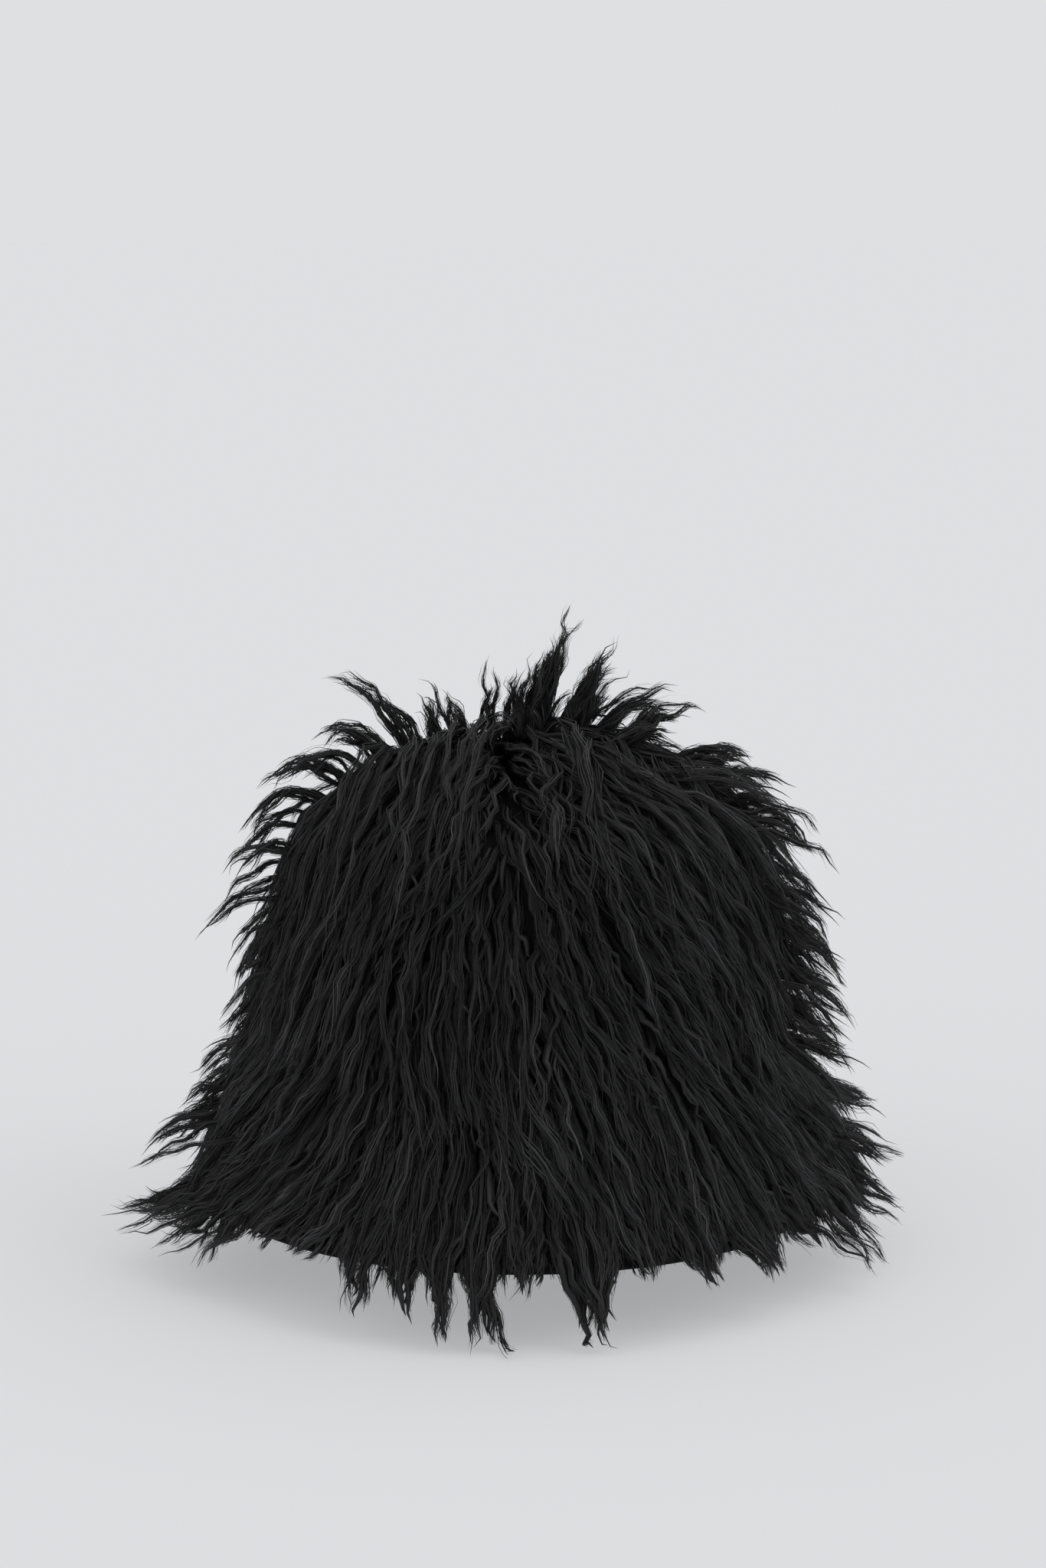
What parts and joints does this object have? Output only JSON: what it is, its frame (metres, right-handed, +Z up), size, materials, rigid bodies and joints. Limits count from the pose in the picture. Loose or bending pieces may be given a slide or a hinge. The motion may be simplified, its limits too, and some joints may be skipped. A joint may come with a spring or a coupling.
{
  "type": "faux-fur bucket hat",
  "caption": "Soft bucket hat in long shaggy faux fur, with a domed crown, a short flared brim, a full lining, a sweatband and loose inner labels, resting on its brim.",
  "frame": {"origin": "on the ground, under the centre of the crown", "axes": "+Z up through the crown, -Y towards the wearer's front, +X to the wearer's left"},
  "size_m": [0.3, 0.3, 0.246],
  "materials": {
    "faux_fur": "long shaggy acrylic pile in crimped locks on a knitted backing",
    "interlining": "needled non-woven felt",
    "satin_lining": "polyester satin, soft sheen",
    "twill_facing": "cotton twill, matt",
    "cotton_tape": "plain woven tape, matt",
    "grosgrain_band": "ribbed grosgrain, low sheen",
    "woven_label": "damask woven polyester, blank",
    "care_ribbon": "white satin ribbon, blank",
    "sewing_thread": "spun polyester thread"
  },
  "bodies": {
    "hat": {"crown_tip_fur": "faux_fur", "crown_front_fur": "faux_fur", "crown_back_fur": "faux_fur", "brim_front_fur": "faux_fur", "brim_back_fur": "faux_fur", "crown_tip_interlining": "interlining", "crown_front_interlining": "interlining", "crown_back_interlining": "interlining", "brim_front_stiffener": "interlining", "brim_back_stiffener": "interlining", "lining_tip": "satin_lining", "lining_front": "satin_lining", "lining_back": "satin_lining", "brim_front_facing": "twill_facing", "brim_back_facing": "twill_facing", "brim_seam_tape": "cotton_tape", "sweatband": "grosgrain_band", "brand_label": "woven_label", "sweatband_stitching": "sewing_thread", "hem_stitching": "sewing_thread"},
    "size_label": {"size_label": "woven_label"},
    "care_label": {"care_label": "care_ribbon"}
  },
  "joints": [
    {"name": "size_label_swing", "type": "hinge", "parent": "hat", "child": "size_label", "pos_m": [0, 0.08606, 0.126], "axis": [1, 0, 0], "range_deg": [-110, 0]},
    {"name": "care_label_swing", "type": "hinge", "parent": "hat", "child": "care_label", "pos_m": [-0.0816, 0, 0.154], "axis": [0, 1, 0], "range_deg": [-110, 6]}
  ]
}
